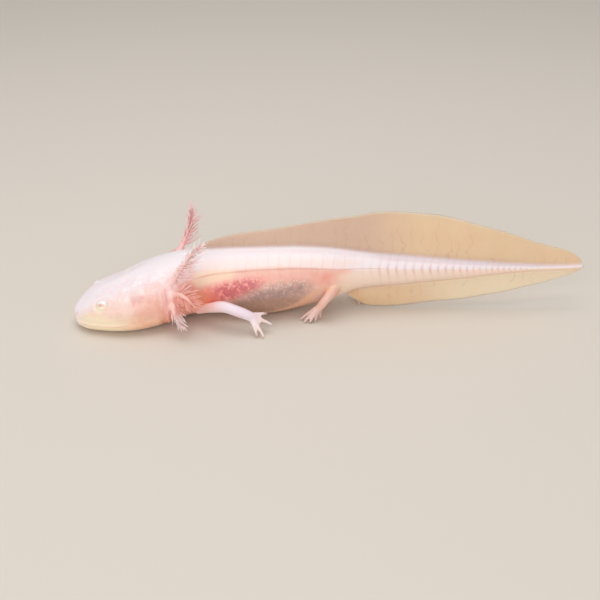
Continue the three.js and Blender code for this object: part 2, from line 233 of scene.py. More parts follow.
# The markings: where each lies, as rows of (distance from the snout, degrees from the back where
# it starts and ends), how soft its edge is in millimetres and degrees, its colour, its strength
# and how far the skin's mottling breaks it up.
MARKINGS = {
    "snout": ([(0, 15, 70), (4, 25, 70)], 3, 16, "#f2e1e6", 0.6, 0.1),
    "tail_crest": ([(106, -20, 34), (130, -20, 36), (168, -20, 46)], 8, 12, "#d8c2c4", 0.5, 0.15),
    "back_cream": (
        [(42, 28, 60), (60, 24, 54), (80, 26, 54), (100, 36, 60)],
        *(6, 12, "#fbdfd5", 0.62, 0.1),
    ),
    "cheek": (
        [(2, 44, 190), (12, 36, 190), (20, 38, 190), (30, 38, 190)],
        *(5, 24, "#f1cfc1", 1.0, 0.25),
    ),
    "throat": (
        [(1, 60, 200), (7, 64, 200), (13, 78, 200), (20, 82, 200), (32, 84, 200)],
        *(5, 22, "#ffeccb", 0.85, 0.2),
    ),
    "jaw_flush": (
        [(16, 84, 130), (20, 66, 130), (25, 56, 140), (32, 50, 140)],
        *(10, 24, "#efae90", 0.75, 0.3),
    ),
    "jaw_rear": ([(28, 74, 150), (35, 66, 150)], 3, 16, "#e08468", 0.7, 0.3),
    "cheek_flush": ([(18, 50, 66), (24, 40, 84), (31, 34, 110)], 4, 14, "#f5bdb4", 0.4, 0.8),
    "gill_groove": ([(28.6, 64, 104), (30.4, 60, 100)], 1.0, 12, "#e9958a", 0.5, 0.3),
    "skull_flush": ([(8, 12, 40), (18, 8, 34), (28, 14, 40)], 5, 12, "#f6d0d2", 0.35, 1.0),
    "flank": (
        [(36, 52, 200), (44, 52, 200), (60, 45, 200), (68, 43, 200), (76, 45, 200), (97, 60, 200)],
        *(3, 8, "#f1bdaa", 0.95, 0.15),
    ),
    "shoulder_cream": ([(40, 43, 68), (48, 45, 68), (58, 45, 57)], 3, 8, "#fadcc0", 0.8, 0.2),
    "gill_flush": (
        [(29, 38, 66), (32, 30, 62), (38, 28, 58), (42, 34, 58)],
        *(3, 14, "#f7c4be", 0.8, 0.4),
    ),
    "gill_coral": (
        [(31, 66, 150), (33, 58, 150), (38, 56, 150), (42, 64, 150)],
        *(2.5, 12, "#fba794", 0.9, 0.4),
    ),
    "rear_flush": (
        [(66, 54, 66), (80, 57, 76), (90, 60, 88), (99, 62, 90)],
        *(5, 9, "#f3ab9b", 0.55, 0.3),
    ),
    "belly": (
        [(50, 122, 200), (66, 110, 200), (76, 100, 200), (90, 86, 200), (99, 86, 200)],
        *(5, 12, "#e6b58d", 0.75, 0.3),
    ),
    "coral": (
        [(37, 66, 112), (42, 72, 106), (50, 67, 101), (56, 62, 97), (62, 58, 85), (69, 58, 71)],
        *(4, 11, "#fd9f8e", 0.9, 0.4),
    ),
    "orange": ([(35, 74, 112), (43, 76, 104), (53, 82, 98)], 4, 10, "#f69a73", 0.75, 0.4),
    "rose": ([(47, 72, 96), (54, 68, 93), (60, 60, 86), (67, 58, 70)], 4, 9, "#e27e80", 0.75, 0.5),
    "crimson": (
        [(51, 70, 92), (55, 66, 92), (61, 61, 84), (68, 61, 70)],
        *(4, 8, "#b9555e", 0.6, 1.05),
    ),
    "stomach": (
        [(55, 94, 132), (62, 79, 132), (69, 70, 130), (77, 69, 120), (83.6, 72, 98)],
        *(3.4, 13, "#c29d90", 0.95, 0.3),
    ),
    "low_stomach": ([(57, 99, 134), (68, 90, 132), (79, 96, 120)], 3.4, 9, "#a17a63", 0.6, 0.3),
    "dark_stomach": ([(62, 80, 94), (72, 76, 92), (83, 75, 86)], 4, 10, "#927b7d", 0.55, 0.8),
    "pelvis": ([(86, 62, 74), (90, 64, 88), (94, 74, 100)], 3.5, 10, "#f2937f", 0.4, 0.5),
    "tail_side": (
        [(92, 64, 200), (112, 66, 200), (150, 68, 200), (181, 72, 200)],
        *(6, 15, "#f9decb", 0.9, 0.1),
    ),
    "tail_edge": ([(104, 0, 20), (140, 0, 28), (176, 0, 30)], 8, 14, "#eadde4", 0.6, 0.1),
}
BLUSH = [(8, 40, 64), (18, 42, 84), (30, 44, 96)]
# Where white blotches of painted wet sheen lie on the top of the head.
PAINTED_SHEEN_BLOTCHES = [(12, 20, 46), (20, 16, 50), (30, 14, 44)]
PALE_DOTS = [(66, 62, 80), (74, 62, 78), (84, 64, 80)]

# ---- small helpers


def rise(x, start, end):
    """0 before start, 1 after end, and a smooth step between."""
    t = np.clip((x - start) / (end - start), 0, 1)
    return t * t * (3 - 2 * t)


def swell(x, centre, width):
    """A soft hump of height 1."""
    return np.exp(-(((x - centre) / width) ** 2))


def between(x, start, end, soft):
    """1 from start to end, with soft ends."""
    return rise(x, start - soft, start + soft) * (1 - rise(x, end - soft, end + soft))


def along(rows, column, at):
    """A smooth value of one column of a table at distances along its first column."""
    rows = np.asarray(rows, float)
    xs, ys = rows[:, 0], rows[:, column]
    count = len(xs)
    before = np.maximum(np.arange(count) - 1, 0)
    after = np.minimum(np.arange(count) + 1, count - 1)
    slopes = (ys[after] - ys[before]) / (xs[after] - xs[before])
    at = np.clip(at, xs[0], xs[-1])
    i = np.clip(np.searchsorted(xs, at) - 1, 0, count - 2)
    span = xs[i + 1] - xs[i]
    t = (at - xs[i]) / span
    u = 1 - t
    ends = ys[i] * (1 + 2 * t) * u * u + ys[i + 1] * t * t * (1 + 2 * u)
    return ends + span * t * u * (slopes[i] * u - slopes[i + 1] * t)


def heading(at):
    """The direction of the middle line, seen from above."""
    head = HEAD_TURN * (1 - rise(at, HEAD_END, NECK_BEND_END))
    return head + TAIL_TURN * rise(at, TRUNK_END, LENGTH)


spine_at = np.arange(0, LENGTH + SPINE_STEP / 2, SPINE_STEP)
turns = heading(spine_at[:-1] + SPINE_STEP / 2)
strides = SPINE_STEP * np.column_stack([np.cos(turns), np.sin(turns)])
walk = np.vstack([np.zeros(2), np.cumsum(strides, axis=0)])
spine = walk - np.array([ORIGIN[0], walk[int(TRUNK_MIDDLE / SPINE_STEP), 1] + ORIGIN[1]])
BATCH = 4000  # points looked up at a time


def place(at, right, up):
    """Points in millimetres from distance from the snout, distance to the right, and height."""
    at = np.asarray(at, float)
    turn = heading(at)
    x = np.interp(at, spine_at, spine[:, 0]) - right * np.sin(turn)
    y = np.interp(at, spine_at, spine[:, 1]) + right * np.cos(turn)
    return np.stack(np.broadcast_arrays(x, y, up), axis=-1)


def unplace(points):
    """Distance from the snout, distance to the right, and height of points in millimetres."""
    at = np.empty(len(points))
    sparse, sparse_at = spine[::4], spine_at[::4]
    for first in range(0, len(points), BATCH):
        part = points[first : first + BATCH, None, :2] - sparse[None]
        at[first : first + BATCH] = sparse_at[np.argmin((part**2).sum(axis=2), axis=1)]
    right = np.zeros(len(points))
    for _ in range(4):
        turn = heading(at)
        dx = points[:, 0] - np.interp(at, spine_at, spine[:, 0])
        dy = points[:, 1] - np.interp(at, spine_at, spine[:, 1])
        at = np.clip(at + dx * np.cos(turn) + dy * np.sin(turn), 0, LENGTH)
        right = dy * np.cos(turn) - dx * np.sin(turn)
    return at, right, points[:, 2]


def above_floor(up, soft=0.25):
    """Heights with everything below the floor flattened onto it, softly."""
    return 0.5 * (up + np.sqrt(up * up + soft * soft)) - 0.5 * soft * np.exp(-np.abs(up) / soft)


# ---- cross-sections


def corners(at):
    return HEAD_CORNERS + (1 - HEAD_CORNERS) * rise(at, EYE["at"], NECK_END)


def rim_rounding(share):
    """1 over most of a fin's height, and round down to 0 at its rim."""
    return np.sqrt(np.clip(1 - np.clip(share, 0, 1) ** RIM_POWER, 0, 1))


def fin_wall(share, over):
    """Half thickness of a fin at a share of its height, round at the rim."""
    wall = FIN_ROOT + (FIN_RIM - FIN_ROOT) * np.clip(share, 0, 1)
    return wall * rim_rounding(share) * rise(over, 0, 2.5)


def half_width(at, up):
    """How far the skin stands out from the middle plane at a height."""
    wide, top, bottom, belt = (along(SECTIONS, c, at) for c in (WIDE, TOP, BOTTOM, BELT))
    over, under = along(FINS, OVER, at), along(FINS, UNDER, at)
    reach = np.where(up > belt, top - belt, belt - bottom)
    share = np.abs(up - belt) / np.maximum(reach, 1e-3)
    power = corners(at)
    inside = wide * np.clip(1 - np.clip(share, 0, 1) ** (2 / power), 0, 1) ** (power / 2)
    body = np.where(share <= 1, inside, -3 * (share - 1) * reach)
    height = np.where(up > belt, over, under)
    beyond = np.where(up > belt, up - top, bottom - up)
    fin_share = beyond / np.maximum(height, 1e-3)
    fin = fin_wall(fin_share, height)
    soft = FILLET * rise(height, 0, 4)
    lap = np.maximum(soft - np.abs(body - fin), 0)
    blended = np.maximum(body, fin) + lap * lap / (4 * np.maximum(soft, 1e-3))
    blended = blended * np.where(beyond > 0, rim_rounding(fin_share), 1)
    return np.where(height > 0.02, blended, np.maximum(body, 0))


HALF = 72  # faces from the middle of the back to the middle of the belly
FINE = 700  # points along the outline before it is cut into even faces


def half_outline(at):
    """The right half of the skin's outline at one station, from its top to its bottom."""
    top = along(SECTIONS, TOP, at) + along(FINS, OVER, at)
    bottom = along(SECTIONS, BOTTOM, at) - along(FINS, UNDER, at)
    turn = np.linspace(0, math.pi, FINE)
    up = 0.5 * (top + bottom) + 0.5 * (top - bottom) * np.cos(turn)
    right = half_width(np.full(FINE, float(at)), up)
    right[0] = right[-1] = 0
    steps = np.hypot(np.diff(right), np.diff(up))
    length = np.r_[0, np.cumsum(steps)]
    spots = np.linspace(0, length[-1], HALF + 1)
    return np.interp(spots, length, right), np.interp(spots, length, up)


# ---- the body's modelling


def around(at, right, up):
    """Degrees round the body from the middle of the back, 0, to the middle of the belly, 180."""
    belt = along(SECTIONS, BELT, at)
    reach = np.where(up > belt, along(SECTIONS, TOP, at) - belt, belt - along(SECTIONS, BOTTOM, at))
    wide = np.maximum(along(SECTIONS, WIDE, at), 0.2)
    return np.degrees(np.arctan2(np.abs(right) / wide, (up - belt) / np.maximum(reach, 0.2)))


def lip_height(at):
    return MOUTH["snout"] + MOUTH["rise"] * (at / MOUTH["long"]) ** 2


def nostril_distance(at, right, up):
    away = (at - NOSTRIL["at"], np.abs(right) - NOSTRIL["out"], up - NOSTRIL["up"])
    return np.sqrt(sum(a * a for a in away))


def eye_axis(side, way=EYE_SEAT):
    """The eye's centre in millimetres, and a direction from it."""
    centre = place(EYE["at"], side * EYE["out"], EYE["up"])
    turn = heading(EYE["at"])
    ahead = np.array([-math.cos(turn), -math.sin(turn), 0])
    out = side * np.array([-math.sin(turn), math.cos(turn), 0])
    axis = way[0] * ahead + way[1] * out + way[2] * np.array([0, 0, 1.0])
    return centre, axis / np.linalg.norm(axis)


# The head's broad forms: height, distance from the snout and its spread, and degrees from the
# middle of the back and their spread.
HEAD_FORMS = (
    (0.45, 20, 6.5, 36, 20),  # jaw muscle behind the eye
    (-0.4, 19, 9, 0, 11),  # hollow along the top of the skull
    (-0.25, 5.5, 3, 62, 12),  # hollow in front of the eye
    (0.35, 25, 5, 92, 24),  # full cheek
    (-0.2, 14, 3, 40, 12),  # dip behind the eye
    (0.2, 4, 2.5, 0, 30),  # end of the snout
)
TRUNK_FORMS = (
    (0.35, 72, 11, 102, 24),  # stomach
    (0.25, 54, 8, 84, 22),  # liver
    (0.3, 44, 4, 100, 22),  # shoulder
    (0.7, 99.5, 2.6, 180, 22),  # vent
)


def broad_forms(forms, at, angle):
    return sum(h * swell(at, a, spread) * swell(angle, d, fan) for h, a, spread, d, fan in forms)


def head_relief(at, right, up, angle, points):
    """Millimetres that the head's skin stands proud of its plain section."""
    lip = lip_height(at)
    gape = 1 - rise(at, MOUTH["corner"] - 3, MOUTH["corner"])
    jaw = 1 - rise(at, MOUTH["corner"], HEAD_END - 8)
    relief = broad_forms(HEAD_FORMS, at, angle)
    relief -= 0.42 * gape * swell(up, lip, 0.28)  # line of the lips
    relief -= 0.22 * jaw * (1 - rise(up, lip - 0.7, lip)) * rise(up, 0.3, 1.5)  # lower jaw
    relief += 0.16 * gape * swell(up, lip + 1.1, 0.8)  # upper lip
    nostril = nostril_distance(at, right, up)
    relief += 0.12 * swell(nostril, 0.8, 0.35) - 0.45 * swell(nostril, 0, 0.36)
    for side in (-1, 1):
        centre, axis = eye_axis(side)
        offset = points - centre
        ahead = offset @ axis
        far = np.linalg.norm(offset - ahead[:, None] * axis, axis=1)
        near = rise(ahead, -0.5, 0.8)
        relief += near * 0.16 * swell(far, 2.05, 0.4)  # rim round the eyeball
        relief -= near * 0.5 * (1 - rise(far, 0.9, 1.6))  # its seat
        relief -= near * 0.12 * swell(far, 3.1, 0.7)  # dip round the rim
    return relief


def gill_cover_relief(at, angle):
    """The folds of the gill covers, which run on under the throat, and the slits behind them."""
    lean = at - 29.5 - 0.018 * (angle - 90)
    fold = rise(angle, 36, 60) * (1 - 0.5 * rise(angle, 105, 140))
    relief = fold * (0.42 * swell(lean, -0.9, 1.2) - 0.5 * swell(lean, 0.7, 0.45))
    flank = between(angle, 42, 118, 8)
    relief += flank * (0.25 * swell(lean, 2.0, 0.8) - 0.35 * swell(lean, 3.2, 0.4))
    relief += flank * (0.2 * swell(lean, 4.4, 0.8) - 0.3 * swell(lean, 5.6, 0.4))
    return relief


def band_count(at, angle):
    """How many muscle bands lie before a point. Bands bow forwards on the flank line."""
    spacing = 3.7 - 0.7 * rise(at, 84, 104) - 0.5 * rise(at, 120, 170)
    bow = np.abs(angle - flank_line(at)) / 90
    return (at - 1.8 * bow - 98) / spacing


def flank_line(at):
    return along(FLANK_LINE, 1, at)


def trunk_relief(at, angle):
    """Rib grooves, the groove of the lateral line, the full belly and the vent."""
    groove = np.clip(np.cos(TAU * band_count(at, angle)), 0, 1)
    ribs = between(at, 48, 93, 3) * between(angle, 30, 128, 14)
    muscle = rise(at, 94, 106) * (1 - rise(at, 160, 176)) * between(angle, 24, 150, 14)
    relief = broad_forms(TRUNK_FORMS, at, angle)
    relief -= 0.09 * ribs * groove**4
    relief -= 0.05 * muscle * groove**3
    relief -= 0.14 * between(at, 44, 150, 6) * swell(angle, flank_line(at), 3.2)
    return relief


def fin_waves(at, up):
    """How far a fin's sheet sways to the side, in millimetres."""
    top, bottom = along(SECTIONS, TOP, at), along(SECTIONS, BOTTOM, at)
    clear = np.maximum(np.maximum(up - top, bottom - up), 0) / 12
    sway = 0.8 * np.sin(at * 0.11 + 0.6) + 0.3 * np.sin(at * 0.31 + up * 0.15)
    return clear * sway * rise(at, 50, 90)


def section_stations():
    """Where the skin is cut into rings, closest together at the tip of the snout."""
    snout = 3 * (np.arange(0, 12) / 12) ** 2
    head = np.arange(3, HEAD_END, 0.36)
    trunk = np.arange(HEAD_END, TRUNK_END, 0.5)
    tail = np.linspace(TRUNK_END, LENGTH, 132)
    return np.concatenate([snout, head, trunk, tail])


def shaped_skin():
    """The points of the whole skin without limbs: one row for each station, in millimetres."""
    stations = section_stations()
    rows = [half_outline(at) for at in stations]
    right = np.array([np.r_[r, -r[-2::-1]] for r, _ in rows])
    up = np.array([np.r_[u, u[-2::-1]] for _, u in rows])
    at = np.repeat(stations[:, None], right.shape[1], axis=1)
    right = right + fin_waves(at, up)
    points = place(at, right, up)
    ahead = np.gradient(points, axis=0)
    closed = np.concatenate([points[:, -2:-1], points, points[:, 1:2]], axis=1)
    across = (closed[:, 2:] - closed[:, :-2]) / 2
    normals = np.cross(across, ahead)
    size = np.linalg.norm(normals, axis=2, keepdims=True)
    normals = np.where(size > 1e-9, normals / np.maximum(size, 1e-12), 0)
    at, right, up = (a.ravel() for a in (at, right, up))
    angle = around(at, right, up)
    places = points.reshape(-1, 3)
    relief = rise(at, 0.2, 1.2) * head_relief(at, right, up, angle, places)
    relief = relief * (1 - rise(at, 30, 36))
    relief += gill_cover_relief(at, angle) + trunk_relief(at, angle)
    on_body = up < along(SECTIONS, TOP, at) + 0.2
    on_body &= up > along(SECTIONS, BOTTOM, at) - 0.2
    relief = np.where(on_body | (at < HEAD_END), relief, 0)
    places = places + relief[:, None] * normals.reshape(-1, 3)
    places[:, 2] = above_floor(places[:, 2])
    return places.reshape(points.shape)


# ---- mesh making


def tube(bm, sides, rows, locate):
    """A closed tube from a grid: locate(share along, turn) gives each corner in metres."""
    grid = bmesh.ops.create_grid(bm, x_segments=sides, y_segments=rows, size=0.5)["verts"]
    for corner in grid:
        corner.co = locate(corner.co.y + 0.5, (corner.co.x + 0.5) * TAU)
    bmesh.ops.remove_doubles(bm, verts=grid, dist=1e-7)


def linked(name, data):
    """A new object of the scene."""
    thing = bpy.data.objects.new(name, data)
    bpy.context.scene.collection.objects.link(thing)
    return thing


def made(name, bm):
    """A named object from a finished bmesh, smooth-shaded, with its faces pointing outwards."""
    bmesh.ops.recalc_face_normals(bm, faces=bm.faces)
    for face in bm.faces:
        face.smooth = True
    mesh = bpy.data.meshes.new(name)
    bm.to_mesh(mesh)
    bm.free()
    return linked(name, mesh)


def finished(thing):
    """Replaces a mesh by what its modifiers make of it."""
    bpy.context.view_layer.update()
    depsgraph = bpy.context.evaluated_depsgraph_get()
    mesh = bpy.data.meshes.new_from_object(thing.evaluated_get(depsgraph))
    thing.modifiers.clear()
    thing.data = mesh
    return thing


def bent_line(side, stops):
    """A limb's or gill's middle line: locate(share) gives a point, a direction and a thickness."""
    rows = np.array(stops, float)
    centres = place(rows[:, 0], side * rows[:, 1], rows[:, 2])
    spots = np.column_stack([np.arange(len(rows)), centres, rows[:, 3]])

    def locate(share):
        t = share * (len(rows) - 1)
        point = np.array([along(spots, c, t) for c in (1, 2, 3)])
        step = 0.02
        ahead = np.array([along(spots, c, t + step) - along(spots, c, t - step) for c in (1, 2, 3)])
        return Vector(point * MM), Vector(ahead).normalized(), along(spots, 4, t) * MM

    return locate


def muscled(share):
    """The swelling of a limb's muscles above and below its elbow or knee."""
    return 1 + 0.06 * float(swell(share, 0.34, 0.1)) + 0.05 * float(swell(share, 0.66, 0.12))


def rod(bm, line, sides, rows, swelling=lambda share: 1.0):
    """A round-ended rod along a line."""
    start, middle, end = (line(share)[0] for share in (0.0, 0.5, 1.0))
    hinge = (middle - start).cross(end - middle)
    if hinge.length < 1e-9:
        hinge = (end - start).cross(Vector((0.31, 0.2, 1)))
    hinge.normalize()
    reach = 0.06  # the share of the rod that each round end takes up

    def locate(share, turn):
        point, ahead, thick = line(share)
        cap = min(share, 1 - share) / reach
        thick *= math.sqrt(max(1 - (1 - min(cap, 1)) ** 2, 0)) * swelling(share)
        across = hinge.cross(ahead).normalized()
        over = ahead.cross(across)
        return point + across * (math.sin(turn) * thick) + over * (math.cos(turn) * thick)

    tube(bm, sides, rows, locate)


def limb(name, side, stops, tips):
    """An arm or leg with its palm and digits, melted together."""
    bm = bmesh.new()
    wrist, thick = np.array(stops[-1][:3]), stops[-1][3]
    palm = wrist + (np.mean(np.array(tips), axis=0) - wrist) * PALM
    rod(bm, bent_line(side, [*stops, (*palm, 0.6 * thick)]), 24, 52, muscled)
    knuckles = []
    for tip in np.array(tips):
        raised = wrist + np.array([0, 0, 0.35])
        joints = [raised + (tip - wrist) * share for share, _ in KNUCKLES]
        digit = [(*joint, half_thick) for joint, (_, half_thick) in zip(joints, KNUCKLES)]
        digit = [(*wrist, 0.85 * thick), *digit, (*tip, FINGERTIP)]
        rod(bm, bent_line(side, digit), 12, 20)
        knuckles.append(joints[MIDDLE_KNUCKLE])
    for one, other in zip(knuckles, knuckles[1:]):
        middle = (one + other) / 2
        rod(bm, bent_line(side, [(*one, 0.7), (*middle, 0.6), (*other, 0.7)]), 12, 10)
        inner = (wrist + middle) / 2
        rod(bm, bent_line(side, [(*wrist, 0.8 * thick), (*inner, 1.0), (*middle, 0.6)]), 12, 12)
    piece = made(name, bm)
    remesh = piece.modifiers.new("melt", "REMESH")
    remesh.mode = "VOXEL"
    remesh.voxel_size = MELT * MM
    finished(piece)
    relax = piece.modifiers.new("relax", "SMOOTH")
    relax.factor = 0.5
    relax.iterations = RELAXED
    return finished(piece)


def joined(whole, part):
    """Joins a closed mesh to another. The part is used up."""
    union = whole.modifiers.new("join", "BOOLEAN")
    union.operation = "UNION"
    union.solver = "MANIFOLD"
    union.object = part
    finished(whole)
    bpy.data.objects.remove(part)


def body_skin():
    """The skin of head, trunk, tail and fins as one closed tube."""
    points = shaped_skin() * MM
    last_row, last_side = points.shape[0] - 1, points.shape[1] - 1
    bm = bmesh.new()
    tube(
        bm,
        last_side,
        last_row,
        lambda t, turn: Vector(points[round(t * last_row), round(turn / TAU * last_side)]),
    )
    bmesh.ops.dissolve_degenerate(bm, dist=1e-7, edges=bm.edges)
    return made("skin", bm)


def mesh_points(mesh):
    points = np.empty(len(mesh.vertices) * 3)
    mesh.vertices.foreach_get("co", points)
    return points.reshape(-1, 3)


def root_places():
    """Where each limb and gill leaves the body, with the reach of the flesh to be smoothed."""
    limbs = [(side, stops, 0.22, 4.2) for side, stops, _ in LIMBS.values()]
    gills = [(side, stops, 0.24, 3.0) for side, stops in GILLS.values()]
    for side, stops, share, reach in (*limbs, *gills):
        yield bent_line(side, stops)(share)[0], reach * MM


ALL_AXES = {"use_axis_x": True, "use_axis_y": True, "use_axis_z": True}


def softened(piece):
    """Smooths the flesh where limbs and gills leave the body."""
    bm = bmesh.new()
    bm.from_mesh(piece.data)
    bmesh.ops.remove_doubles(bm, verts=bm.verts, dist=0.03 * MM)
    bmesh.ops.triangulate(bm, faces=[f for f in bm.faces if len(f.verts) > 4])
    for centre, reach in root_places():
        for share, rounds in ((1.0, 4), (0.8, 5), (0.6, 6)):  # of the reach, and of smoothing
            near = [v for v in bm.verts if (v.co - centre).length < reach * share]
            for _ in range(rounds):
                bmesh.ops.smooth_vert(bm, verts=near, factor=0.5, **ALL_AXES)
    for face in bm.faces:
        face.smooth = True
    bm.to_mesh(piece.data)
    bm.free()


# ---- markings


def inside(rows, at, angle, soft_mm, soft_deg):
    """1 inside a marking, between its two edges, with soft ends and edges."""
    window = between(at, rows[0][0], rows[-1][0], soft_mm)
    return window * between(angle, along(rows, 1, at), along(rows, 2, at), soft_deg)


def store(mesh, name, values):
    layer = mesh.attributes.new(name, "FLOAT", "POINT")
    layer.data.foreach_set("value", np.asarray(values, np.float32))


def limb_shares(points):
    """Each point's distance from the nearest limb's line, and its share along that limb."""
    far = np.full(len(points), 99.0)
    share = np.zeros(len(points))
    hind = np.zeros(len(points))
    for name, (side, stops, tips) in LIMBS.items():
        reach = np.mean(np.array(tips), axis=0)
        line = bent_line(side, [*stops, (*reach, 1.0)])
        for t in np.linspace(0, 1, 40):
            gap = np.linalg.norm(points - np.array(line(t)[0]) / MM, axis=1)
            share = np.where(gap < far, t, share)
            hind = np.where(gap < far, float(name.startswith("leg")), hind)
            far = np.minimum(far, gap)
    return far, share, hind


def mark_skin(mesh):
    """Stores where each marking lies, as soft shares from 0 to 1, and gives their names."""
    points = mesh_points(mesh) / MM
    at, right, up = unplace(points)
    angle = around(at, right, up)
    top, bottom = along(SECTIONS, TOP, at), along(SECTIONS, BOTTOM, at)
    over, under = along(FINS, OVER, at), along(FINS, UNDER, at)
    thin = 1 - rise(np.abs(right), 2.2, 3.6)
    above = thin * rise(over, 0, 3) * np.maximum(up - top, 0)
    below = thin * rise(under, 0, 3) * np.maximum(bottom - up, 0)
    above_share, below_share = above / np.maximum(over, 1), below / np.maximum(under, 1)
    fin_height = np.maximum(above, below)
    low_fin = thin * rise(under, 0, 3) * rise(bottom - up, -1.4, 1.4)
    body_out = half_width(at, np.clip(up, bottom + 0.01, top - 0.01))
    stands_out = rise(np.abs(right) - body_out, 0.3, 1.6) * (1 - rise(fin_height, 0.2, 0.6) * thin)
    gill = np.zeros(len(points))
    for side, stops in GILLS.values():
        line = bent_line(side, stops)
        for t in np.linspace(0.15, 1, 14):
            centre = np.array(line(t)[0]) / MM
            gill = np.maximum(gill, swell(np.linalg.norm(points - centre, axis=1), 0, 2.2))
    nostril = nostril_distance(at, right, up)
    gape = 1 - rise(at, MOUTH["corner"] - 3, MOUTH["corner"])
    limb_far, limb_share, hind = limb_shares(points)
    limb_mark = np.maximum(stands_out, rise(limb_share, 0.3, 0.45)) * (1 - rise(limb_far, 3.0, 5.0))
    limb_mark = limb_mark * (1 - rise(gill, 0.3, 0.7))
    eye_rim = np.zeros(len(points))
    under_eye = np.zeros(len(points))
    for side in (-1, 1):
        centre, axis = eye_axis(side)
        away = points - centre - EYE["depth"] * axis
        far = np.linalg.norm(away, axis=1)
        eye_rim = np.maximum(eye_rim, swell(far, 1.9, 0.5))
        under_eye = np.maximum(under_eye, (1 - rise(far, 2.0, 3.1)) * rise(-away[:, 2], 0.2, 1.4))
    shares = {
        "fin": np.maximum(rise(above, 0.0, 2.0), low_fin),
        "fin_share": np.clip(above_share + below_share, 0, 1),
        "fin_rim": rise(above_share, 0.93, 1) + rise(below_share, 0.9, 1),
        "fin_rear": np.maximum(rise(at, 96, 124), rise(below, 0.2, 1.5)),
        "limb": limb_mark,
        "limb_share": limb_share,
        "hind": hind,
        "gill": gill,
        # the stalks of the gills on the animal's right side get a darker rose as painted shade
        "gill_right": gill * rise(right, 2, 5),
        "gill_glow": gill * between(points[:, 2], 11.2, 16, 1.5) * rise(at, 31.5, 34),
        "eye_rim": eye_rim,
        "under_eye": under_eye,
        "mouth": gape,
        "lip_gap": up - lip_height(at),
        "nostril": swell(nostril, 0, 0.45),
        "band_count": band_count(at, angle),
        "tail_bands": between(at, 105, 162, 9) * (0.25 + 0.75 * between(angle, 52, 86, 16)),
        "rib_grooves": between(at, 56, 100, 6) * between(angle, 22, 56, 8),
        "fin_low_rear": low_fin * rise(at, 112, 138),
        "lateral_line": between(at, 43, 108, 4) * (1 - limb_mark) * (1 - gill),
        "line_gap": angle - flank_line(at),
        "pale_dots": inside(PALE_DOTS, at, angle, 3, 6),
        "veins": swell(at, 25, 5) * swell(angle, 56, 22),
        "blush": inside(BLUSH, at, angle, 5, 16),
        # white blotches of painted wet sheen on the head
        "painted_sheen_blotches": inside(PAINTED_SHEEN_BLOTCHES, at, angle, 4, 12),
    }
    for name, (rows, soft_mm, soft_deg, *_) in MARKINGS.items():
        shares[name] = inside(rows, at, angle, soft_mm, soft_deg)
    for name, values in shares.items():
        store(mesh, name, values)
    return list(shares)


# ---- materials


def linear(code, alpha=1.0):
    """A colour written as sRGB hex, in Blender's linear values."""
    channels = [int(code[i : i + 2], 16) / 255 for i in (1, 3, 5)]
    return (*(c / 12.92 if c <= 0.04045 else ((c + 0.055) / 1.055) ** 2.4 for c in channels), alpha)


def add_node(tree, kind, links, out=0, **settings):
    """Adds a node with settings and links (sockets, values, hex colours), and gives an output."""
    new = tree.nodes.new(kind)
    for name, value in settings.items():
        setattr(new, name, value)
    for socket, source in links.items():
        if isinstance(source, bpy.types.NodeSocket):
            tree.links.new(source, new.inputs[socket])
        else:
            value = linear(source) if isinstance(source, str) else source
            new.inputs[socket].default_value = value
    return new.outputs[out]


MATH, MIX, RANGE = "ShaderNodeMath", "ShaderNodeMix", "ShaderNodeMapRange"
NOISE, MARK, PLACE = "ShaderNodeTexNoise", "ShaderNodeAttribute", "ShaderNodeTexCoord"
BLEND = {"out": 2, "data_type": "RGBA"}  # a mix of two colours, and its colour output
SMOOTH = {"interpolation_type": "SMOOTHSTEP"}
TIMES = {"operation": "MULTIPLY"}


def surface(name, **constants):
    """A new material, its tree and its shader, with the shader's constants set."""
    material = bpy.data.materials.new(name)
    material.use_nodes = True
    shader = material.node_tree.nodes["Principled BSDF"]
    for socket, value in constants.items():
        shader.inputs[socket.replace("_", " ")].default_value = value
    return material, material.node_tree, shader


def grain_scale(size_mm):
    """The noise scale that gives grains about size_mm across."""
    return 0.5 / (size_mm * MM)


# A net of veins with 3 mm meshes, and vessels 4 mm apart, since a wave texture has 20 radians to
# a unit. Both are drawn coarser than life, or they wouldn't show.
VEIN_NET = 0.33 / MM
VESSEL_BANDS = 0.08 / MM


